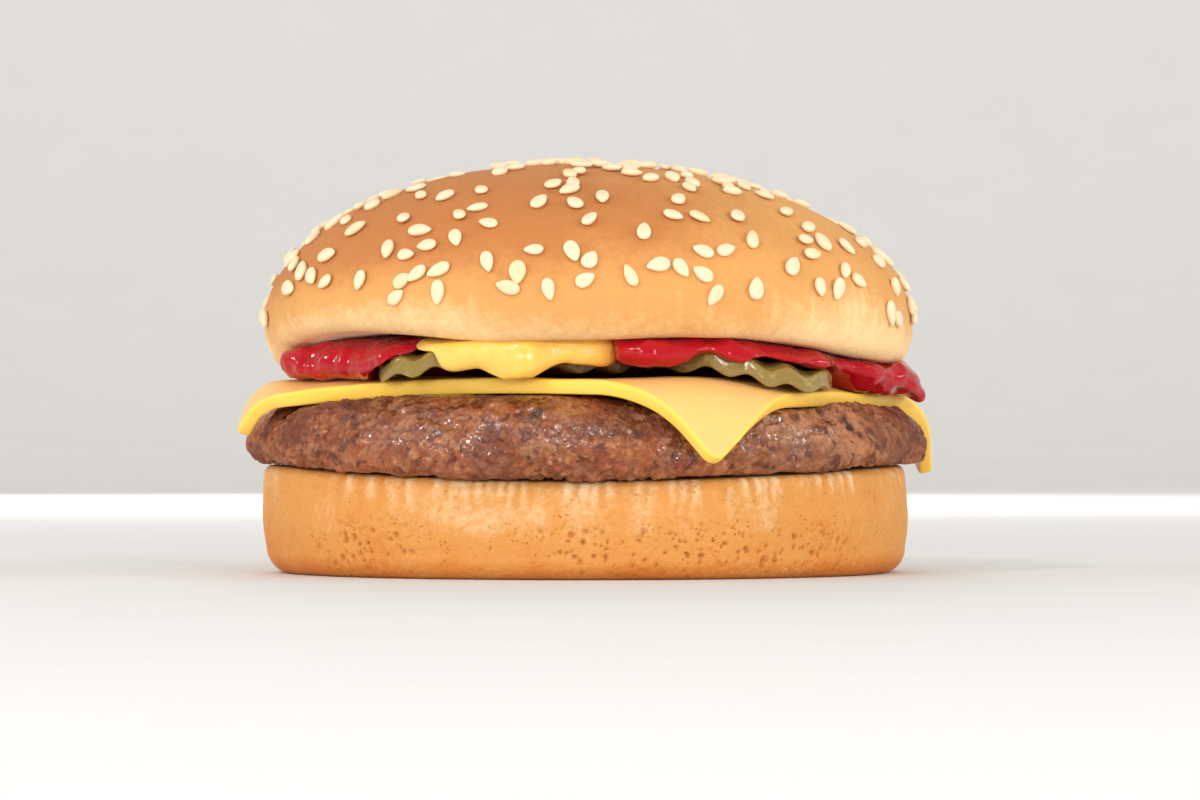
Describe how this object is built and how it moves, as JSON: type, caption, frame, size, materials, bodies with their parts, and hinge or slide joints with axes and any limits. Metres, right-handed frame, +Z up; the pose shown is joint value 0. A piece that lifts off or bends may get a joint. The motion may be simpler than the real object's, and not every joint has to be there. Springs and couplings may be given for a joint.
{
  "type": "cheeseburger",
  "caption": "Cheeseburger in a sesame-seed bun: heel, beef patty, drooping cheese slice, crinkle-cut pickles, ketchup, mustard and crown, resting on its flat base.",
  "frame": {"origin": "centre of the heel's flat base, where the burger rests", "axes": "+Z up through the stack, -Y towards the front, +X to the right as seen from the front"},
  "size_m": [0.1081, 0.1092, 0.0637],
  "materials": {
    "heel_crust": "golden bread crust, matt, paler where the patty presses on it",
    "grilled_beef": "browned coarse mince, moist, with small bright fat highlights",
    "cheese": "smooth processed cheese, satin",
    "pickle": "wet olive-green pickled cucumber",
    "ketchup": "glossy deep red",
    "mustard": "glossy warm yellow",
    "crown_crust": "bread crust browned at the top and pale at the rim, with cream sesame seeds"
  },
  "bodies": {
    "root": {"bottom_bun": "heel_crust", "patty": "grilled_beef", "cheese": "cheese", "pickle_left": "pickle", "pickle_middle": "pickle", "pickle_right": "pickle", "ketchup": "ketchup", "mustard": "mustard", "top_bun": "crown_crust"}
  },
  "joints": []
}
